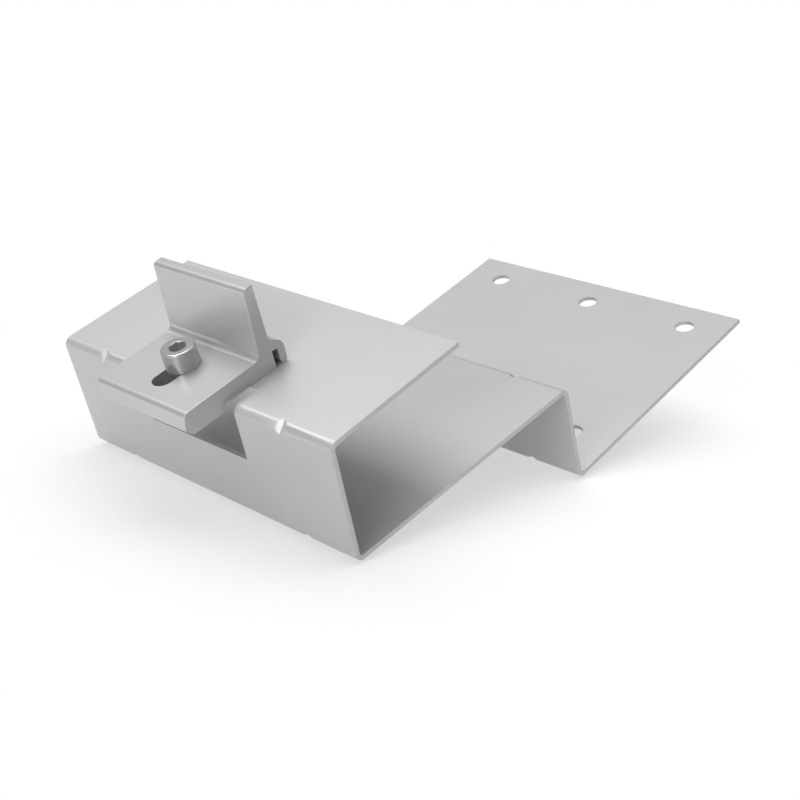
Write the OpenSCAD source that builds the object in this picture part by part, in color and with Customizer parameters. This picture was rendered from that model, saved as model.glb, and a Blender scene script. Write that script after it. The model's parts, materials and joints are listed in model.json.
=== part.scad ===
// Solar roof hook: one folded sheet with a rail clamp on its upper flap.
// The base plate lies level on Z = 0, the folds run along X, and the clamp end points to -Y.
// X = 0, Y = 0 is the middle of the base plate's screw holes.
// The folds are measured on the middle of the sheet's thickness, from fold corner to fold corner.

/* [Part] */
// Piece to draw, or all of them

/* [Hook sheet] */
// Width of the sheet along its folds
hook_w = 150; // [130:1:200]
// Thickness of the sheet
sheet_t = 2; // [1.5:0.1:3]
// Inside radius of each fold
bend_r = 1.5; // [1.2:0.1:3]
// Base plate, from its fold to its free edge
base_len = 127.5; // [125:0.5:160]
// Riser between the base plate and the ramp
riser_h = 43.7; // [30:0.1:70]
// Ramp between the riser and the front wall
ramp_len = 119.2; // [100:0.1:170]
// Front wall between the ramp and the flap
front_h = 47.7; // [40:0.1:70]
// Flap that carries the rail, from its fold to its free edge
flap_len = 65; // [45:0.5:90]
// Lean of the riser towards the front, in degrees
riser_lean = 1.2; // [0:0.1:5]
// Rise of the ramp towards the front, in degrees
ramp_rise = 3; // [0:0.1:8]
// Lean of the front wall towards the back, in degrees
front_lean = 2.5; // [0:0.1:6]

/* [Base plate holes] */
// Diameter of the six screw holes
hole_d = 9; // [6:0.5:12]
// Distance between neighbouring holes along the folds
hole_pitch_x = 55; // [40:1:60]
// Distance between the two rows of holes
hole_pitch_y = 90; // [60:1:94]
// Distance from the outer row to the free edge
hole_edge = 15.3; // [12:0.1:17]

/* [Opening in the upper fold] */
// Width of the opening
opening_w = 54; // [53:0.5:80]
// Reach of the opening into the flap, from the front face
opening_reach = 13.6; // [12:0.1:20]
// Drop of the opening in the front wall, from the flap's top
opening_drop = 22.4; // [14:0.1:30]

/* [Stiffening dents] */
// Distance of each dent from the middle of the sheet
dent_x = 50; // [36:0.5:58]
// Width of a dent where it crosses the fold
dent_w = 6; // [4:0.5:10]
// Depth of a dent below the outside of the fold
dent_depth = 1.4; // [0.8:0.1:1.8]

/* [Rail clamp] */
// Length of the clamp along the folds
clamp_w = 50; // [34:1:51]
// Sideways place of the clamp in the opening
clamp_x = -1.2; // [-1.8:0.1:1.8]
// Thickness of the clamp's foot
foot_t = 7; // [6:0.1:9]
// Overhang of the foot in front of the front wall
nose_reach = 18.4; // [16:0.1:24]
// Lean of the foot's front face, in degrees
nose_lean = 13; // [5:1:20]
// Radius of the foot's upper front edge
nose_r = 2.5; // [1:0.1:3]
// Chamfer below the foot's front face
nose_chamfer = 3; // [1:0.1:4]
// Height of the upright above the flap
upright_h = 34.5; // [26:0.5:60]
// Distance of the upright's back face from the front wall's face
upright_back = 25; // [23:0.1:30]
// Thickness of the upright where it meets the foot
upright_root_t = 6.2; // [5.5:0.1:8]
// Thickness of the upright at its top
upright_top_t = 4.3; // [3.5:0.1:5.2]
// Radius of the upright's upper front edge
upright_top_r = 2; // [0.8:0.1:2.2]
// Radius of the corner between the foot and the upright
root_r = 3; // [1:0.1:4]

/* [Clamp tail] */
// Reach of the tail behind the upright
tail_reach = 5.8; // [5.4:0.1:9]
// Thickness of the tail
tail_t = 3.2; // [2.6:0.1:3.6]
// Height of the tail's bend above the flap
tail_bend_h = 6; // [5:0.1:9]
// Outer radius of the tail's bend
tail_r = 4; // [3.8:0.1:5]
// Fall of the tail's back where it leaves the upright, in degrees
tail_fall = 30; // [15:1:40]
// Radius of the corner between the upright and the tail
tail_root_r = 2.5; // [1:0.1:4]

/* [Slot and screw] */
// Width of the slot in the foot
slot_w = 8.5; // [8.3:0.1:10]
// Length of the slot in the foot
slot_len = 20; // [18.5:0.5:22]
// Reach of the slot in front of the front wall's face
slot_front = 9.8; // [8.5:0.1:11]
// Distance of the screw's axis behind the front wall's face
screw_y = 4.1; // [2:0.1:5.5]
// Diameter of the screw's shank
screw_d = 8; // [6:0.1:8.2]
// Length of the screw below its head
screw_len = 20; // [16:1:28]
// Diameter of the screw's head
head_d = 13; // [11:0.1:14]
// Height of the screw's head
head_h = 8; // [5:0.1:9]
// Chamfer of the head's upper edge
head_chamfer = 0.8; // [0.3:0.1:1.5]
// Width of the hexagonal socket across its flats
socket_af = 6; // [4:0.5:7]
// Depth of the hexagonal socket
socket_depth = 4; // [2:0.5:5]

/* [Nut plate] */
// Length of the plate along the folds
nut_w = 22; // [16:1:40]
// Length of the plate from front to back
nut_len = 32; // [30:0.5:40]
// Reach of the plate in front of the front wall
nut_front = 9; // [5:0.1:12]
// Thickness of the plate
nut_t = 5; // [4:0.5:8]
// Chamfer of the plate's corners
nut_chamfer = 2; // [0.5:0.1:4]

/* [Hidden] */
$fn = 96;

// Play between the sheet and the nut plate under it, and around the screw's thread
seat_gap = 0.3;
thread_gap = 0.05;
// How far a cutter runs past the faces that it cuts
over = 5;
// How far a filled corner reaches into the bar, and how far each round bites into the faces beside it
fill = 0.5;
bite = 0.003;

// Headings of base plate, riser, ramp, front wall and flap, from the free edge on
headings = [0, 90 - riser_lean, ramp_rise, 90 + front_lean, 180];
lengths = [base_len, riser_h, ramp_len, front_h, flap_len];
free_edge = -(hole_pitch_y / 2 + hole_edge);
folds = [1 : 4];

// Corners of the sheet's middle line, as distance towards the front and height
function ahead(i) = [cos(headings[i]), sin(headings[i])];
function left_of(i) = [-sin(headings[i]), cos(headings[i])];
function corner(i) = i == 0 ? [free_edge, sheet_t / 2] : corner(i - 1) + lengths[i - 1] * ahead(i - 1);
function turn(i) = headings[i] - headings[i - 1];
function side(i) = turn(i) > 0 ? 1 : -1;

// Corner of the line that runs at a distance to the left of the middle line
function beside(i, d) =
    i == 0 ? corner(0) + d * left_of(0) :
    i == 5 ? corner(5) + d * left_of(4) :
    corner(i) + d * (left_of(i - 1) + left_of(i)) / (1 + cos(turn(i)));
function fold_centre(i) = beside(i, side(i) * (bend_r + sheet_t / 2));

// Flap's top, and the front wall's outer face at that height
front_corner = beside(4, -sheet_t / 2);
flap_z = front_corner[1];
front_y = -front_corner[0];

// Outline of the sheet with sharp folds, and the radius at each of its corners
sheet_outline = concat(
    [for (i = [0 : 5]) beside(i, sheet_t / 2)],
    [for (i = [5 : -1 : 0]) beside(i, -sheet_t / 2)]
);
sheet_rounds = [for (i = folds) each [
    [i, side(i) > 0 ? bend_r : bend_r + sheet_t],
    [11 - i, side(i) > 0 ? bend_r + sheet_t : bend_r]
]];

// Clamp values, measured from the front wall's face and the flap's top
lip_drop = sheet_t + seat_gap;
lip_back = 0.4;
nose_low = 0.8;
nose_top = (foot_t - nose_low) * tan(nose_lean) - nose_reach;
tail_side = upright_back + tail_reach;
tail_in = tail_side - tail_t;
hollow_r = tail_r - tail_t;
hollow_h = tail_bend_h + hollow_r;
// Height of the tail's sloping back at the upright and where it would meet the tail's side
tail_root_h = tail_bend_h + tail_r / cos(tail_fall) + (tail_reach - tail_r) * tan(tail_fall);
tail_corner_h = tail_root_h - tail_reach * tan(tail_fall);
tip_r = 2;
tip_flat = 0.4;

// Outline of the clamp with sharp corners, and the corners that are rounded
clamp_outline = [
    [nose_chamfer - nose_reach, -lip_drop],
    [-nose_reach, nose_low],
    [nose_top, foot_t],
    [upright_back - upright_root_t, foot_t],
    [upright_back - upright_top_t, upright_h],
    [upright_back, upright_h],
    [upright_back, tail_root_h],
    [tail_side, tail_corner_h],
    [tail_side, 0],
    [tail_side - tip_r - tip_flat, 0],
    [tail_in, tip_r],
    [tail_in, hollow_h],
    [upright_back, hollow_h],
    [upright_back, 0],
    [lip_back, 0],
    [lip_back, -lip_drop]
];
clamp_rounds = [
    [2, nose_r],
    [3, root_r],
    [4, upright_top_r],
    [6, tail_root_r],
    [7, tail_r],
    [8, tip_r],
    [11, hollow_r]
];

// A corner of an outline with the points before and after it
function unit(v) = v / norm(v);
function around(outline, i) = [outline[i - 1], outline[i], outline[i + 1]];
function is_outer(p) = cross(p[1] - p[0], p[2] - p[1]) < 0;

// Extrudes an outline along the folds
module across(w) {
    rotate([90, 0, 90])
        linear_extrude(height = w, center = true)
            children();
}

// What lies outside a round in a corner, out to a reach from the round's centre
module outside_round(p, r, reach, w) {
    first = unit(p[0] - p[1]);
    last = unit(p[2] - p[1]);
    half = acos(first * last) / 2;
    centre = p[1] + r / sin(half) * unit(first + last);
    to_first = unit(p[1] + r / tan(half) * first - centre);
    to_last = unit(p[1] + r / tan(half) * last - centre);
    difference() {
        across(w)
            polygon([
                centre,
                centre + reach * to_first,
                centre + reach * (to_first + to_last) / (1 + to_first * to_last),
                centre + reach * to_last
            ]);
        across(w + 2)
            translate(centre)
                circle(r = r + bite);
    }
}

// Bar along the folds whose inner corners are filled, and whose outer corners are cut, to true rounds
module rounded_bar(outline, rounds, w) {
    difference() {
        union() {
            across(w)
                polygon(outline);
            for (k = rounds)
                if (!is_outer(around(outline, k[0])))
                    outside_round(around(outline, k[0]), k[1], k[1] + fill, w);
        }
        for (k = rounds)
            if (is_outer(around(outline, k[0])))
                outside_round(around(outline, k[0]), k[1], k[1] + over, w + 2 * over);
    }
}

// Places its child at both dents of every fold, with +Y pointing to the outside of the fold
module at_dents() {
    for (i = folds)
        for (x = [-dent_x, dent_x])
            translate([x, fold_centre(i)[0], fold_centre(i)[1]])
                rotate([(headings[i - 1] + headings[i]) / 2 - 90 * side(i), 0, 0])
                    children();
}

// Groove pressed into the outside of a fold
module dent_groove() {
    low = bend_r + sheet_t - dent_depth;
    open = dent_depth + over;
    half = dent_w / 2 / dent_depth * open;
    linear_extrude(height = 4 * over, center = true)
        polygon([[0, low], [half, low + open], [-half, low + open]]);
}

// Ridge that the same press pushes out on the inside of the fold
module dent_ridge() {
    low = bend_r - dent_depth;
    half = dent_w / 2 / dent_depth * sheet_t;
    bend = 45;
    reach = (bend_r - low * cos(bend)) / sin(bend) + sheet_t * tan(bend / 2) / 2;
    linear_extrude(height = 2 * reach, center = true)
        polygon([[0, low], [half, low + sheet_t], [-half, low + sheet_t]]);
}

// Folded sheet with its dents, the opening in the upper fold and the six base holes
module hook_sheet() {
    color([0.76, 0.77, 0.78])
        rotate([0, 0, 180])
            difference() {
                union() {
                    rounded_bar(sheet_outline, sheet_rounds, hook_w);
                    at_dents()
                        dent_ridge();
                }
                at_dents()
                    dent_groove();
                translate([-opening_w / 2, -front_y - opening_reach, flap_z - opening_drop])
                    cube([opening_w, opening_reach + over, opening_drop + over]);
                for (x = [-1 : 1])
                    for (y = [-0.5, 0.5])
                        translate([x * hole_pitch_x, y * hole_pitch_y, -over])
                            cylinder(h = sheet_t + 2 * over, d = hole_d);
            }
}

// Moves its child from the clamp's own frame to its place on the flap
module on_flap() {
    translate([clamp_x, front_y, flap_z])
        children();
}

// Extruded clamp with the slot for its screw
module rail_clamp() {
    slot_first = slot_w / 2 - slot_front;
    slot_last = slot_len - slot_front - slot_w / 2;
    color([0.70, 0.71, 0.73])
        on_flap()
            difference() {
                rounded_bar(clamp_outline, clamp_rounds, clamp_w);
                for (y = [slot_first, slot_last])
                    translate([0, y, -over])
                        cylinder(h = foot_t + over + 1, d = slot_w);
                translate([-slot_w / 2, slot_first, -over])
                    cube([slot_w, slot_last - slot_first, foot_t + over + 1]);
            }
}

// Socket head screw that pulls the nut plate up against the flap
module clamp_screw() {
    color([0.62, 0.63, 0.65])
        on_flap()
            translate([0, screw_y, foot_t])
                difference() {
                    union() {
                        cylinder(h = head_h - head_chamfer, d = head_d);
                        translate([0, 0, head_h - head_chamfer])
                            cylinder(h = head_chamfer, d1 = head_d, d2 = head_d - 2 * head_chamfer);
                        translate([0, 0, 1 - screw_len])
                            cylinder(h = screw_len - 1, d = screw_d);
                        translate([0, 0, -screw_len])
                            cylinder(h = 1, d1 = screw_d - 2, d2 = screw_d);
                    }
                    translate([0, 0, head_h - socket_depth])
                        cylinder(h = socket_depth + 1, d = socket_af / cos(30), $fn = 6);
                }
}

// Tapped plate under the flap, held up by the lip in front and the flap behind
module nut_plate() {
    half = nut_w / 2;
    back = nut_len - nut_front;
    color([0.66, 0.67, 0.68])
        on_flap()
            difference() {
                translate([0, 0, -lip_drop - nut_t])
                    linear_extrude(height = nut_t)
                        polygon([
                            [-half + nut_chamfer, -nut_front],
                            [half - nut_chamfer, -nut_front],
                            [half, nut_chamfer - nut_front],
                            [half, back - nut_chamfer],
                            [half - nut_chamfer, back],
                            [-half + nut_chamfer, back],
                            [-half, back - nut_chamfer],
                            [-half, nut_chamfer - nut_front]
                        ]);
                translate([0, screw_y, -lip_drop - nut_t - 1])
                    cylinder(h = nut_t + 2, d = screw_d + 2 * thread_gap);
            }
}

hook_sheet();
rail_clamp();
clamp_screw();
nut_plate();
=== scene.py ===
"""Looks of a solar roof hook: folded sheet, extruded rail clamp, socket screw and nut plate.

Every piece is in metres, in the part's own frame: the base plate is level, the folds run along X
and the clamp end points to -Y. Sizes in the classes are in millimetres.
"""

import json
import logging
import math
from collections.abc import Callable, Iterable, Iterator
from contextlib import contextmanager
from dataclasses import dataclass, field
from enum import Enum

import bpy
import bmesh
from mathutils import Matrix, Vector

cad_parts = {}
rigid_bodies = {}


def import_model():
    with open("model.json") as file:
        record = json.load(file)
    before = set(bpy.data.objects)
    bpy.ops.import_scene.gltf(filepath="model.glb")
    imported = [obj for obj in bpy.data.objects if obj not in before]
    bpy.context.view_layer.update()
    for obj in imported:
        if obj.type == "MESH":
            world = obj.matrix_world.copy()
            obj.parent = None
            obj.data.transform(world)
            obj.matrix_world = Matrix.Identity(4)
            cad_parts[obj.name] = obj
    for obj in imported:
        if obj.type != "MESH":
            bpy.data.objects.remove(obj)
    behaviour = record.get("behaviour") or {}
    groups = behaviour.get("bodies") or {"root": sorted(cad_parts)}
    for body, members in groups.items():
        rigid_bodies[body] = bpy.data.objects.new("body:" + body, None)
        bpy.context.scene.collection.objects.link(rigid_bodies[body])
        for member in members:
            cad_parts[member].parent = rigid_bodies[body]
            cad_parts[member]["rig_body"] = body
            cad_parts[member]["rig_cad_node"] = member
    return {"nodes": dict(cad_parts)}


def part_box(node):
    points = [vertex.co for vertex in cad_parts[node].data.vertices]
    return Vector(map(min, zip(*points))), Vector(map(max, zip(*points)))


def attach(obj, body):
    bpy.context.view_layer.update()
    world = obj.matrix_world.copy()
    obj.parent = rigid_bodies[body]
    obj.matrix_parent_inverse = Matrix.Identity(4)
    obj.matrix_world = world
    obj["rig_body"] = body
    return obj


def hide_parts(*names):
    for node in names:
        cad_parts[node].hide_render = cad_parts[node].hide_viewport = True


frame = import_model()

MM = 0.001
LOG = logging.getLogger("roof_hook")

MERGE_MM = 0.001  # Points closer together than this become one, and thinner faces go
COPY_MERGE_MM = 0.002  # The same for a copied node, whose loose triangles are joined first
FLAT_DEG = 0.4  # Faces of a copied node that turn less than this are merged
TURNING_STEPS = 96  # Facets round a turned shape
THREAD_STEPS = 64  # Facets in one turn of the thread
ROUNDING_STEP_DEG = 15  # Turn between two facets of the screw head's rounded edge
EDGE_STEPS = 3  # Facets of a broken edge
FLAT_FACE_WEIGHT = 100  # Shades the flat faces flat, up to their broken edges

LINE_STRETCH = 60  # How many times longer than wide a surface line is
LINE_SPREAD = (0.25, 0.75)  # Range of the lines' noise that moves the roughness from end to end
CLOUD_SPREAD = (0.3, 0.7)  # Range of the clouds' noise that goes from none to a full cloud


def linear(hex_colour: str) -> tuple[float, float, float, float]:
    """Turns an sRGB hex colour into linear red, green, blue and alpha.

    Args:
        hex_colour: Six hex digits after a hash sign.

    Returns:
        The linear colour with an alpha of 1.
    """
    digits = hex_colour.lstrip("#")
    values = [int(digits[i : i + 2], 16) / 255 for i in (0, 2, 4)]
    red, green, blue = (v / 12.92 if v <= 0.04045 else ((v + 0.055) / 1.055) ** 2.4 for v in values)
    return red, green, blue, 1.0


def add_node(
    tree: bpy.types.NodeTree, kind: str, inputs: dict | None = None, **settings: object
) -> bpy.types.Node:
    """Adds a shader node with its settings, values and links.

    Args:
        tree: The node tree that gets the node.
        kind: The node's type, such as ShaderNodeTexNoise.
        inputs: Input name or number to a value, or to the output socket that is linked to it.
        settings: Properties of the node itself.

    Returns:
        The new node.
    """
    node = tree.nodes.new(kind)
    for name, value in settings.items():
        setattr(node, name, value)
    for name, value in (inputs or {}).items():
        if isinstance(value, bpy.types.NodeSocket):
            tree.links.new(value, node.inputs[name])
        else:
            node.inputs[name].default_value = value
    return node


class Lay(Enum):
    """The way the fine lines of a metal surface run."""

    ROLLED = "down the sheet, across its folds"
    DRAWN = "along the extruded bar"
    TURNED = "round the screw's axis"
    TUMBLED = "no direction"


@dataclass(frozen=True)
class MetalFinish:
    """A bare metal surface with fine lines and faint clouds, in part dull and in part smoother.

    Attributes:
        name: The material's name.
        colour: The metal's colour as an sRGB hex value.
        roughness: Mean roughness of the dull part of the surface.
        smooth_share: Share of the surface that is smoother.
        smooth_roughness: Mean roughness of that share.
        roughness_play: How far the lines move the roughness either way.
        line_mm: Width of the fine lines.
        line_depth_mm: Depth of the fine lines.
        cloud_mm: Size of the faint clouds.
        cloud_share: How much darker the clouds are.
        lay: The way the lines run.
        axis_mm: A point on the turning axis, for a turned surface.
    """

    name: str
    colour: str
    roughness: float
    smooth_share: float
    smooth_roughness: float
    roughness_play: float
    line_mm: float
    line_depth_mm: float
    cloud_mm: float
    cloud_share: float
    lay: Lay
    axis_mm: tuple[float, float, float] = (0.0, 0.0, 0.0)

    def _place(self, tree: bpy.types.NodeTree) -> bpy.types.NodeSocket:
        """Gives the coordinates that the lines are drawn on, one unit to a line's width.

        Args:
            tree: The material's node tree.

        Returns:
            The socket with the stretched coordinates.
        """
        place = add_node(tree, "ShaderNodeTexCoord").outputs["Object"]
        across = 1 / (self.line_mm * MM)
        along = across / LINE_STRETCH
        if self.lay is Lay.TURNED:
            place = self._round_axis(tree, place)
        scale = {
            Lay.ROLLED: (across, along, along),
            Lay.DRAWN: (along, across, across),
            Lay.TURNED: (across, along, across),
            Lay.TUMBLED: (across, across, across),
        }[self.lay]
        return add_node(tree, "ShaderNodeMapping", {"Vector": place, "Scale": scale}).outputs[0]

    def _round_axis(
        self, tree: bpy.types.NodeTree, place: bpy.types.NodeSocket
    ) -> bpy.types.NodeSocket:
        """Turns a place into its distance from the turning axis and its height along it.

        Args:
            tree: The material's node tree.
            place: The socket with the place on the object.

        Returns:
            The socket with the distance in X and the height in Z.
        """
        centre = tuple(v * MM for v in self.axis_mm)
        moved = add_node(
            tree, "ShaderNodeVectorMath", {0: place, 1: centre}, operation="SUBTRACT"
        ).outputs[0]
        flat = add_node(
            tree, "ShaderNodeVectorMath", {0: moved, 1: (1, 1, 0)}, operation="MULTIPLY"
        ).outputs[0]
        radius = add_node(tree, "ShaderNodeVectorMath", {0: flat}, operation="LENGTH")
        split = add_node(tree, "ShaderNodeSeparateXYZ", {0: moved})
        joined = {"X": radius.outputs["Value"], "Z": split.outputs["Z"]}
        return add_node(tree, "ShaderNodeCombineXYZ", joined).outputs[0]

    def material(self) -> bpy.types.Material:
        """Makes the material.

        Returns:
            The finished material.
        """
        made = bpy.data.materials.new(self.name)
        made.use_nodes = True
        tree = made.node_tree
        tree.nodes.clear()
        colour = linear(self.colour)
        lines = add_node(
            tree,
            "ShaderNodeTexNoise",
            {"Vector": self._place(tree), "Scale": 1.0, "Detail": 3.0, "Roughness": 0.6},
        ).outputs["Fac"]
        place = add_node(tree, "ShaderNodeTexCoord").outputs["Object"]
        size = 1 / (self.cloud_mm * MM)
        clouds = add_node(
            tree,
            "ShaderNodeTexNoise",
            {"Vector": place, "Scale": size, "Detail": 2.0, "Roughness": 0.5},
        ).outputs["Fac"]
        low, high = CLOUD_SPREAD
        share = add_node(
            tree,
            "ShaderNodeMapRange",
            {"Value": clouds, "From Min": low, "From Max": high, "To Min": 0.0, "To Max": 1.0},
        ).outputs[0]
        darker = tuple(v * (1 - self.cloud_share) for v in colour[:3]) + (1.0,)
        clouded = add_node(
            tree, "ShaderNodeMix", {0: share, 6: colour, 7: darker}, data_type="RGBA"
        ).outputs[2]
        depth = self.line_depth_mm * MM
        bump = add_node(
            tree, "ShaderNodeBump", {"Height": lines, "Distance": depth, "Strength": 1.0}
        ).outputs[0]
        low, high = LINE_SPREAD
        parts = []
        for mean in (self.roughness, self.smooth_roughness):
            rough = add_node(
                tree,
                "ShaderNodeMapRange",
                {
                    "Value": lines,
                    "From Min": low,
                    "From Max": high,
                    "To Min": mean - self.roughness_play,
                    "To Max": mean + self.roughness_play,
                },
            ).outputs[0]
            shader = add_node(
                tree,
                "ShaderNodeBsdfPrincipled",
                {"Base Color": clouded, "Metallic": 1.0, "Roughness": rough, "Normal": bump},
            )
            parts.append(shader.outputs[0])
        dull, smooth = parts
        whole = add_node(tree, "ShaderNodeMixShader", {0: self.smooth_share, 1: dull, 2: smooth})
        add_node(tree, "ShaderNodeOutputMaterial", {"Surface": whole.outputs[0]})
        return made


# Stainless sheet, cold rolled and pickled: a dull, even grey with broad, soft reflections. The
# light skin pass after the pickling flattened the tops of the grain, so a third of the surface is
# smoother and gives the folds their highlights. The rolling lines are 0.1 mm wide, too fine to
# show, so they are drawn three times as wide.
ROLLED_SHEET = MetalFinish(
    name="cold_rolled_stainless_sheet",
    colour="#D4D4D4",
    roughness=0.85,
    smooth_share=0.3,
    smooth_roughness=0.38,
    roughness_play=0.01,
    line_mm=0.3,
    line_depth_mm=0.0012,
    cloud_mm=45.0,
    cloud_share=0.03,
    lay=Lay.ROLLED,
)

# Extruded aluminium, left as it came from the die: a pale grey, with a smoother share where the
# die polished it. So its rounds carry a narrow highlight, and faint die lines run along the bar.
EXTRUDED_BAR = MetalFinish(
    name="mill_finish_extruded_aluminium",
    colour="#D2D2D2",
    roughness=0.8,
    smooth_share=0.35,
    smooth_roughness=0.28,
    roughness_play=0.006,
    line_mm=0.35,
    line_depth_mm=0.0004,
    cloud_mm=25.0,
    cloud_share=0.03,
    lay=Lay.DRAWN,
)

# Steel plate, zinc plated in a tumbling barrel: a bright and finely dappled grey.
PLATED_PLATE = MetalFinish(
    name="zinc_plated_steel_plate",
    colour="#C6C6C6",
    roughness=0.7,
    smooth_share=0.4,
    smooth_roughness=0.4,
    roughness_play=0.05,
    line_mm=0.6,
    line_depth_mm=0.002,
    cloud_mm=8.0,
    cloud_share=0.05,
    lay=Lay.TUMBLED,
)


def turned_screw(axis_mm: tuple[float, float, float]) -> MetalFinish:
    """Gives the finish of the stainless screw: bright, with turning marks round its axis.

    Args:
        axis_mm: A point on the screw's axis.

    Returns:
        The finish.
    """
    return MetalFinish(
        name="turned_stainless_screw",
        colour="#C4C4C4",
        roughness=0.85,
        smooth_share=0.42,
        smooth_roughness=0.18,
        roughness_play=0.012,
        line_mm=0.15,
        line_depth_mm=0.0002,
        cloud_mm=6.0,
        cloud_share=0.03,
        lay=Lay.TURNED,
        axis_mm=axis_mm,
    )


def alone(obj: bpy.types.Object) -> None:
    """Deselects everything, then selects one object and makes it active.

    Args:
        obj: The object that the next operator works on.
    """
    for other in bpy.context.view_layer.objects:
        other.select_set(False)
    obj.select_set(True)
    bpy.context.view_layer.objects.active = obj


@contextmanager
def editing(obj: bpy.types.Object) -> Iterator[None]:
    """Opens one object in edit mode with nothing selected, and closes it again.

    Args:
        obj: The mesh object to edit.

    Yields:
        Nothing.
    """
    alone(obj)
    bpy.ops.object.mode_set(mode="EDIT")
    bpy.ops.mesh.select_mode(type="VERT")
    bpy.ops.mesh.select_all(action="DESELECT")
    try:
        yield
    finally:
        bpy.ops.object.mode_set(mode="OBJECT")


def pick_edges(obj: bpy.types.Object, test: Callable[[bmesh.types.BMEdge], bool]) -> None:
    """Selects the edges that pass a test, in edit mode.

    Args:
        obj: The object in edit mode.
        test: Tells whether an edge is wanted.
    """
    bpy.ops.mesh.select_mode(type="EDGE")
    bpy.ops.mesh.select_all(action="DESELECT")
    shape = bmesh.from_edit_mesh(obj.data)
    for edge in filter(test, shape.edges):
        edge.select_set(True)
    shape.select_flush_mode()
    bmesh.update_edit_mesh(obj.data)


def modify(obj: bpy.types.Object, kind: str, **settings: object) -> None:
    """Adds a modifier and applies it.

    Args:
        obj: The object that is changed.
        kind: The modifier's type.
        settings: The modifier's properties.
    """
    alone(obj)
    modifier = obj.modifiers.new(kind.lower(), kind)
    for name, value in settings.items():
        setattr(modifier, name, value)
    bpy.ops.object.modifier_apply(modifier=modifier.name)


def combine(obj: bpy.types.Object, other: bpy.types.Object, operation: str) -> None:
    """Cuts one object with another, joins them or keeps what they share, and removes the other.

    Args:
        obj: The object that is changed.
        other: The object that is used up.
        operation: DIFFERENCE, UNION or INTERSECT.
    """
    modify(obj, "BOOLEAN", object=other, operation=operation, solver="EXACT")
    bpy.data.objects.remove(other, do_unlink=True)


def settle(obj: bpy.types.Object, smooth_deg: float) -> None:
    """Puts an object's place into its mesh, clears faces with no area and shades it smooth.

    Args:
        obj: The finished object.
        smooth_deg: Edges sharper than this stay sharp.
    """
    alone(obj)
    bpy.ops.object.transform_apply(location=True, rotation=True, scale=True)
    with editing(obj):
        bpy.ops.mesh.select_all(action="SELECT")
        bpy.ops.mesh.remove_doubles(threshold=MERGE_MM * MM)
        bpy.ops.mesh.select_all(action="SELECT")
        bpy.ops.mesh.dissolve_degenerate(threshold=MERGE_MM * MM)
    bpy.ops.object.shade_smooth_by_angle(angle=math.radians(smooth_deg))


@dataclass
class Piece:
    """One piece of the hook, which stands for a node of the part.

    Attributes:
        node: The name of the node that it stands for.
        slot: The record's material slot; not used.
        edge_mm: Radius that breaks the piece's sharp edges.
        sharp_deg: Edges that turn less than this aren't broken.
        smooth_deg: Edges that turn more than this stay sharp in the shading.
        obj: The object, once it is built.
    """

    node: str
    slot: str
    edge_mm: float = 0.2
    sharp_deg: float = 32.0
    smooth_deg: float = 35.0
    obj: bpy.types.Object | None = field(default=None, init=False)

    def copy_of_node(self) -> bpy.types.Object:
        """Copies the node's mesh, joins its loose triangles and merges those that are flat.

        Returns:
            The copy.
        """
        alone(frame["nodes"][self.node])
        bpy.ops.object.duplicate(linked=False)
        copy = bpy.context.view_layer.objects.active
        copy.parent = None
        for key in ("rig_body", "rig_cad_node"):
            del copy[key]
        copy.name = f"{self.node}_dressed"
        copy.data.name = copy.name
        with editing(copy):
            bpy.ops.mesh.select_all(action="SELECT")
            bpy.ops.mesh.remove_doubles(threshold=COPY_MERGE_MM * MM)
            bpy.ops.mesh.dissolve_limited(angle_limit=math.radians(FLAT_DEG), delimit=set())
        return copy

    def break_edges(self, obj: bpy.types.Object) -> None:
        """Rounds the sharp edges by the piece's edge radius.

        Args:
            obj: The object whose edges are rounded.
        """
        modify(
            obj,
            "BEVEL",
            width=self.edge_mm * MM,
            segments=EDGE_STEPS,
            limit_method="ANGLE",
            angle_limit=math.radians(self.sharp_deg),
            use_clamp_overlap=False,
        )

    def build(self) -> None:
        """Makes the piece from its node, with broken edges."""
        self.obj = self.copy_of_node()
        self.break_edges(self.obj)
        settle(self.obj, self.smooth_deg)
        modify(self.obj, "WEIGHTED_NORMAL", keep_sharp=True, weight=FLAT_FACE_WEIGHT)

    def finish(self) -> MetalFinish:
        """Gives the piece's finish."""
        raise NotImplementedError

    def dress(self) -> None:
        """Gives the piece its material and its body, and hides the node that it stands for."""
        finish = self.finish()
        self.obj.data.materials.clear()
        self.obj.data.materials.append(finish.material())
        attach(self.obj, "root")
        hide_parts(self.node)
        triangles = sum(len(p.vertices) - 2 for p in self.obj.data.polygons)
        LOG.info("%s: %d triangles, finish %s", self.obj.name, triangles, finish.name)


@dataclass
class HookSheet(Piece):
    """The folded sheet with its base plate, riser, ramp, front wall and flap."""

    node: str = "hook_sheet"
    slot: str = "sheet_steel"
    edge_mm: float = 0.15

    def finish(self) -> MetalFinish:
        """Gives the sheet's rolled finish."""
        return ROLLED_SHEET


@dataclass
class RailClamp(Piece):
    """The extruded clamp with its foot, upright and tail."""

    node: str = "rail_clamp"
    slot: str = "clamp_aluminium"
    edge_mm: float = 0.2

    def finish(self) -> MetalFinish:
        """Gives the clamp's drawn finish."""
        return EXTRUDED_BAR


@dataclass
class NutPlate(Piece):
    """The tapped plate under the flap."""

    node: str = "nut_plate"
    slot: str = "plate_steel"
    edge_mm: float = 0.35

    def finish(self) -> MetalFinish:
        """Gives the plate's tumbled finish."""
        return PLATED_PLATE


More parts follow.
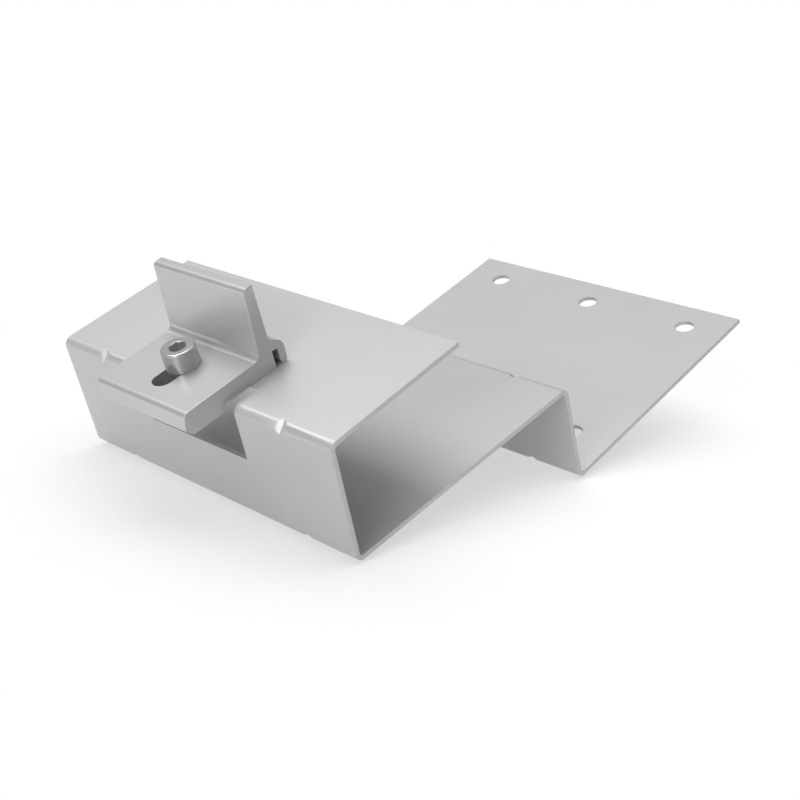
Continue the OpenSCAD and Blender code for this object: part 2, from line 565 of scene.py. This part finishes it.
@dataclass
class ClampScrew(Piece):
    """The socket head screw with its rounded head, its hexagonal socket and its thread.

    Attributes:
        head_d: Diameter of the head.
        head_h: Height of the head.
        head_round: Radius of the head's upper edge.
        head_chamfer: Chamfer of the head's lower edge.
        socket_af: Width of the socket across its flats.
        socket_depth: Depth of the socket.
        lead_in: How far the socket's lead-in reaches past its corners.
        lead_in_deg: Slope of the lead-in.
        shank_d: Outer diameter of the thread.
        pitch: Pitch of the thread.
        thread_depth: Depth of the thread.
        flank_share: Height of each of the thread's flanks, as a share of the pitch.
        flat_share: Height of the flat at its crest or its root, as a share of the pitch.
        crest_over: How far the raw thread stands past the shank's diameter, before it is trimmed.
        plain: Plain length below the head.
        into_head: How far the shank reaches into the head, so that they join.
        tip: Chamfer at the thread's end.
    """

    node: str = "clamp_screw"
    slot: str = "screw_steel"
    smooth_deg: float = 28.0
    head_d: float = 13.0
    head_h: float = 8.0
    head_round: float = 0.9
    head_chamfer: float = 0.25
    socket_af: float = 6.0
    socket_depth: float = 4.0
    lead_in: float = 0.15
    lead_in_deg: float = 30.0
    shank_d: float = 8.0
    pitch: float = 1.25
    thread_depth: float = 0.77
    flank_share: float = 0.4
    flat_share: float = 0.1
    crest_over: float = 0.05
    plain: float = 2.0
    into_head: float = 0.5
    tip: float = 1.0

    def _ends(self) -> tuple[Vector, Vector]:
        """Finds the screw's two ends from its node.

        Returns:
            The middle of its lower end and the middle of its head's top, in metres.
        """
        low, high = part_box(self.node)
        middle = (low + high) / 2
        return Vector((middle.x, middle.y, low.z)), Vector((middle.x, middle.y, high.z))

    def _length(self) -> float:
        """Gives the screw's length under its head, in millimetres."""
        end, top = self._ends()
        return (top.z - end.z) / MM - self.head_h

    def _outline(
        self, name: str, start: Vector, steps: Iterable[tuple[float, float]]
    ) -> bpy.types.Object:
        """Draws an open outline in the X-Z plane: one point, extruded step by step.

        Args:
            name: The new object's name.
            start: Where the outline starts, in metres.
            steps: How far each step goes outwards and upwards, in millimetres.

        Returns:
            The outline.
        """
        bpy.ops.mesh.primitive_plane_add(size=MM, location=start)
        outline = bpy.context.view_layer.objects.active
        outline.name = name
        with editing(outline):
            bpy.ops.mesh.select_all(action="SELECT")
            bpy.ops.mesh.merge(type="CENTER")
            for out, up in steps:
                way = (out * MM, 0, up * MM)
                bpy.ops.mesh.extrude_region_move(TRANSFORM_OT_translate={"value": way})
        return outline

    def _revolve(self, points: list[tuple[float, float]], name: str) -> bpy.types.Object:
        """Spins an outline of radius and height, in mm above the screw's end, into a solid.

        Args:
            points: Outline from the axis at the bottom to the axis at the top.
            name: The new object's name.

        Returns:
            The closed solid.
        """
        end, _ = self._ends()
        radius, height = points[0]
        start = end + Vector((radius * MM, 0, height * MM))
        steps = [(r1 - r0, z1 - z0) for (r0, z0), (r1, z1) in zip(points, points[1:])]
        solid = self._outline(name, start, steps)
        with editing(solid):
            bpy.ops.mesh.select_all(action="SELECT")
            bpy.ops.mesh.spin(
                steps=TURNING_STEPS,
                angle=math.tau,
                center=end,
                axis=(0, 0, 1),
                use_auto_merge=True,
            )
            bpy.ops.mesh.select_all(action="SELECT")
            bpy.ops.mesh.remove_doubles(threshold=MERGE_MM * MM)
            bpy.ops.mesh.normals_make_consistent(inside=False)
        return solid

    def _thread(self) -> bpy.types.Object:
        """Makes the threaded rod, longer than the screw at both ends.

        Its outline starts and ends on the axis, so each end is one winding ramp with a flat
        upright face at its seam.

        Returns:
            The rod.
        """
        end, top = self._ends()
        crest = self.shank_d / 2 + self.crest_over
        root = self.shank_d / 2 - self.thread_depth
        turns = math.ceil((top.z - end.z) / MM / self.pitch)
        flank, flat = self.flank_share * self.pitch, self.flat_share * self.pitch
        turn = [(crest - root, flank), (0, flat), (root - crest, flank), (0, flat)]
        start = end - Vector((0, 0, 2 * self.pitch * MM))
        rod = self._outline("thread", start, [(root, 0), *(turn * turns), (-root, 0)])
        modify(
            rod,
            "SCREW",
            angle=math.tau,
            screw_offset=self.pitch * MM,
            steps=THREAD_STEPS,
            render_steps=THREAD_STEPS,
            axis="Z",
        )
        with editing(rod):
            bpy.ops.mesh.select_all(action="SELECT")
            bpy.ops.mesh.remove_doubles(threshold=MERGE_MM * MM)
            pick_edges(rod, lambda edge: edge.is_boundary)
            bpy.ops.mesh.edge_face_add()
            bpy.ops.mesh.select_all(action="SELECT")
            bpy.ops.mesh.normals_make_consistent(inside=False)
        return rod

    def _shank(self) -> bpy.types.Object:
        """Makes the shank: a threaded rod cut to an envelope with a chamfered tip.

        Returns:
            The shank.
        """
        radius, length = self.shank_d / 2, self._length()
        envelope = self._revolve(
            [
                (0, 0),
                (radius - self.tip, 0),
                (radius, self.tip),
                (radius, length - self.plain),
                (radius, length + self.into_head),
                (0, length + self.into_head),
            ],
            "shank",
        )
        rod = self._thread()
        combine(rod, envelope, "INTERSECT")
        return rod

    def _head(self) -> bpy.types.Object:
        """Makes the turned head with its hexagonal socket.

        Returns:
            The head.
        """
        _, top = self._ends()
        radius, edge, chamfer = self.head_d / 2, self.head_round, self.head_chamfer
        low = self._length()
        high = low + self.head_h
        rounding = [
            (radius - edge + edge * math.cos(a), high - edge + edge * math.sin(a))
            for a in map(math.radians, range(0, 90 + 1, ROUNDING_STEP_DEG))
        ]
        head = self._revolve(
            [(0, low), (radius - chamfer, low), (radius, low + chamfer), *rounding, (0, high)],
            "head",
        )
        corner = self.socket_af / 2 / math.cos(math.pi / 6)
        bpy.ops.mesh.primitive_cylinder_add(
            vertices=6, radius=corner * MM, depth=2 * self.socket_depth * MM, location=top
        )
        combine(head, bpy.context.view_layer.objects.active, "DIFFERENCE")
        # A cone on its point, half of it above the head: at the head's top it is lead_in wider
        # than the socket.
        wide = corner + self.lead_in
        bpy.ops.mesh.primitive_cone_add(
            vertices=TURNING_STEPS,
            radius1=0,
            radius2=2 * wide * MM,
            depth=2 * wide * math.tan(math.radians(self.lead_in_deg)) * MM,
            location=top,
        )
        combine(head, bpy.context.view_layer.objects.active, "DIFFERENCE")
        return head

    def build(self) -> None:
        """Makes the screw: its threaded shank, joined to its turned head."""
        shank = self._shank()
        self.obj = self._head()
        combine(self.obj, shank, "UNION")
        self.obj.name = f"{self.node}_dressed"
        settle(self.obj, self.smooth_deg)
        modify(self.obj, "WEIGHTED_NORMAL", keep_sharp=True)

    def finish(self) -> MetalFinish:
        """Gives the screw's turned finish, centred on its own axis."""
        end, _ = self._ends()
        return turned_screw(tuple(v / MM for v in end))


class Lights(Enum):
    """What a lamp lights, as the floor's state in its light linking."""

    EVERYTHING = ""
    FLOOR_ALONE = "INCLUDE"
    ALL_BUT_FLOOR = "EXCLUDE"


@dataclass(frozen=True)
class SoftLamp:
    """A round soft lamp that faces the hook.

    Attributes:
        name: The lamp's name.
        watts: Its power.
        width_mm: Its width.
        place: Its direction from the hook: right, front and up against the floor.
        lights: What it lights.
    """

    name: str
    watts: float
    width_mm: float
    place: tuple[float, float, float]
    lights: Lights = Lights.EVERYTHING


@dataclass
class Studio:
    """The pale floor that the hook lies on, the white room and the soft lamps.

    The hook lies on two of its folds, as in the photograph: the front wall's lower fold and the
    riser's lower fold. So the floor leans by floor_tilt_deg against the level base plate.

    Attributes:
        floor_tilt_deg: Lean of the floor, rising towards the clamp end.
        floor_point_mm: The middle of the floor, below the riser's lower fold.
        floor_size_mm: Side of the square floor.
        floor_colour: Colour of the floor, as an sRGB hex value.
        shade_share: How much of the floor's own shading the camera sees.
        shade_reach_mm: Distances from the floor's middle where that shading starts to fade, and
            where it is gone.
        mirror_share: How much of the floor's shading the metal's mirror images leave out.
        room_light: Brightness of the room overhead.
        room_greys: Grey of the room, as pairs of height and grey: 0 is level and 1 overhead.
        lamp_distance_mm: Distance of the lamps, for a direction of length 1.
        lamp_aim_mm: The point that they face.
        lamps: The key lamp overhead, the wide lamp that gives the floor its broad and even shade,
            the fill lamp in front and the low rim lamp.
    """

    floor_tilt_deg: float = 22.6
    floor_point_mm: tuple[float, float, float] = (0.0, -68.0, -0.6)
    floor_size_mm: float = 3000.0
    floor_colour: str = "#F0F0F0"
    shade_share: float = 0.46
    shade_reach_mm: tuple[float, float] = (180.0, 260.0)
    mirror_share: float = 0.38
    room_light: float = 0.86
    room_greys: tuple[tuple[float, float], ...] = (
        (0.0, 0.08),
        (0.3, 0.1),
        (0.6, 0.24),
        (0.74, 0.6),
        (0.9, 1.0),
    )
    lamp_distance_mm: float = 3000.0
    lamp_aim_mm: tuple[float, float, float] = (0.0, -90.0, 50.0)
    lamps: tuple[SoftLamp, ...] = (
        SoftLamp("round_key_lamp", 70.0, 2600.0, (-0.4, 0.25, 1.0), Lights.ALL_BUT_FLOOR),
        SoftLamp("wide_floor_lamp", 112.0, 5500.0, (-0.15, -0.3, 1.0), Lights.FLOOR_ALONE),
        SoftLamp("round_fill_lamp", 36.0, 1500.0, (0.25, 0.95, 0.34)),
        SoftLamp("round_rim_lamp", 2.0, 300.0, (-0.62, -0.77, 0.2)),
    )

    def up(self) -> Vector:
        """Gives the floor's normal."""
        tilt = math.radians(self.floor_tilt_deg)
        return Vector((0, math.sin(tilt), math.cos(tilt)))

    def _board(self) -> bpy.types.Material:
        """Makes the floor's matt white board.

        The camera sees it white, with a part of its own shading near the hook. From below it is
        clear, because the floor leans and a level view of the clamp end comes from below it.

        Returns:
            The material.
        """
        made = bpy.data.materials.new("matt_white_board")
        made.use_nodes = True
        tree = made.node_tree
        tree.nodes.clear()
        colour = linear(self.floor_colour)
        board = add_node(tree, "ShaderNodeBsdfDiffuse", {"Color": colour}).outputs[0]
        white = add_node(
            tree, "ShaderNodeEmission", {"Color": (1, 1, 1, 1), "Strength": 1.0}
        ).outputs[0]
        clear = add_node(tree, "ShaderNodeBsdfTransparent").outputs[0]
        place = add_node(tree, "ShaderNodeTexCoord").outputs["Object"]
        away = add_node(tree, "ShaderNodeVectorMath", {0: place}, operation="LENGTH")
        near, far = self.shade_reach_mm
        share = add_node(
            tree,
            "ShaderNodeMapRange",
            {
                "Value": away.outputs["Value"],
                "From Min": near * MM,
                "From Max": far * MM,
                "To Min": self.shade_share,
                "To Max": 0.0,
            },
        ).outputs[0]
        path = add_node(tree, "ShaderNodeLightPath").outputs
        under = add_node(tree, "ShaderNodeNewGeometry").outputs["Backfacing"]
        shaded = add_node(tree, "ShaderNodeMixShader", {0: share, 1: white, 2: board}).outputs[0]
        mirrored = add_node(
            tree, "ShaderNodeMixShader", {0: self.mirror_share, 1: board, 2: white}
        ).outputs[0]
        whole = board
        for when, other in (
            (path["Is Glossy Ray"], mirrored),
            (path["Is Camera Ray"], shaded),
            (under, clear),
        ):
            whole = add_node(tree, "ShaderNodeMixShader", {0: when, 1: whole, 2: other}).outputs[0]
        add_node(tree, "ShaderNodeOutputMaterial", {"Surface": whole})
        return made

    def _floor(self) -> bpy.types.Object:
        """Lays the leaning floor.

        Returns:
            The floor.
        """
        bpy.ops.mesh.primitive_plane_add(
            size=self.floor_size_mm * MM,
            location=[v * MM for v in self.floor_point_mm],
            rotation=(-math.radians(self.floor_tilt_deg), 0, 0),
        )
        floor = bpy.context.view_layer.objects.active
        floor.name = "floor"
        floor.data.materials.append(self._board())
        return floor

    def _room(self) -> None:
        """Makes the room: white to the camera, and to the metal bright overhead and dark below."""
        world = bpy.data.worlds.new("white_room")
        bpy.context.scene.world = world
        world.use_nodes = True
        tree = world.node_tree
        tree.nodes.clear()
        way = add_node(tree, "ShaderNodeTexCoord").outputs["Generated"]
        height = add_node(
            tree, "ShaderNodeVectorMath", {0: way, 1: self.up()}, operation="DOT_PRODUCT"
        )
        ramp = add_node(tree, "ShaderNodeValToRGB", {"Fac": height.outputs["Value"]})
        band = ramp.color_ramp
        while len(band.elements) < len(self.room_greys):
            band.elements.new(0.5)
        for element, (position, grey) in zip(band.elements, self.room_greys):
            element.position = position
            element.color = (grey, grey, grey, 1)
        greys = ramp.outputs["Color"]
        room = add_node(
            tree, "ShaderNodeBackground", {"Color": greys, "Strength": self.room_light}
        ).outputs[0]
        white = add_node(
            tree, "ShaderNodeBackground", {"Color": (1, 1, 1, 1), "Strength": 1.0}
        ).outputs[0]
        seen = add_node(tree, "ShaderNodeLightPath").outputs["Is Camera Ray"]
        mixed = add_node(tree, "ShaderNodeMixShader", {0: seen, 1: room, 2: white})
        add_node(tree, "ShaderNodeOutputWorld", {"Surface": mixed.outputs[0]})

    def _hang(self, lamp: SoftLamp, floor: bpy.types.Object) -> None:
        """Hangs one lamp so that it faces the hook, and keeps its light on or off the floor.

        Args:
            lamp: The lamp.
            floor: The floor.
        """
        data = bpy.data.lights.new(lamp.name, "AREA")
        data.shape = "DISK"
        data.size = lamp.width_mm * MM
        data.energy = lamp.watts
        hung = bpy.data.objects.new(lamp.name, data)
        bpy.context.scene.collection.objects.link(hung)
        right = Vector((1, 0, 0))
        front = right.cross(self.up())
        away = lamp.place[0] * right + lamp.place[1] * front + lamp.place[2] * self.up()
        hung.location = (Vector(self.lamp_aim_mm) + away * self.lamp_distance_mm) * MM
        hung.rotation_mode = "QUATERNION"
        hung.rotation_quaternion = away.to_track_quat("Z", "Y")
        if lamp.lights is not Lights.EVERYTHING:
            lit = bpy.data.collections.new(f"lit_by_{lamp.name}")
            lit.objects.link(floor)
            hung.light_linking.receiver_collection = lit
            lit.collection_objects[0].light_linking.link_state = lamp.lights.value

    def build(self) -> None:
        """Makes the floor, the room and the lamps."""
        bpy.context.scene.view_settings.view_transform = "Standard"
        floor = self._floor()
        self._room()
        for lamp in self.lamps:
            self._hang(lamp, floor)
        LOG.info("studio: floor leans %.1f degrees", self.floor_tilt_deg)


@dataclass
class PhotoCamera:
    """The camera at the photograph's place, solved from the sheet's straight edges.

    Attributes:
        place_mm: Where the camera stands.
        right: The direction of the picture's right side.
        up: The direction of the picture's upper side.
        lens_mm: Focal length.
        sensor_mm: Width of the sensor.
        sight_m: Nearest and farthest distance that the camera sees.
    """

    place_mm: tuple[float, float, float] = (352.964, -389.079, 340.488)
    right: tuple[float, float, float] = (0.73057, 0.65356, -0.19782)
    up: tuple[float, float, float] = (-0.25727, 0.53181, 0.80684)
    lens_mm: float = 58.818
    sensor_mm: float = 36.0
    sight_m: tuple[float, float] = (0.01, 20.0)

    def build(self) -> None:
        """Places the camera and makes it the scene's own."""
        data = bpy.data.cameras.new("photo_camera")
        data.sensor_width = self.sensor_mm
        data.lens = self.lens_mm
        data.clip_start, data.clip_end = self.sight_m
        camera = bpy.data.objects.new("photo_camera", data)
        bpy.context.scene.collection.objects.link(camera)
        right, up = Vector(self.right).normalized(), Vector(self.up).normalized()
        turn = Matrix((right, up, right.cross(up))).transposed()
        camera.rotation_mode = "QUATERNION"
        camera.rotation_quaternion = turn.to_quaternion()
        camera.location = Vector(self.place_mm) * MM
        bpy.context.scene.camera = camera
        LOG.info("camera at %s mm, lens %.2f mm", self.place_mm, self.lens_mm)


def main() -> None:
    """Builds the camera, the studio and every piece of the hook."""
    logging.basicConfig(level=logging.INFO, format="%(message)s")
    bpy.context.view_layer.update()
    PhotoCamera().build()
    Studio().build()
    for piece in (HookSheet(), RailClamp(), ClampScrew(), NutPlate()):
        piece.build()
        piece.dress()


if __name__ == "__main__":
    main()
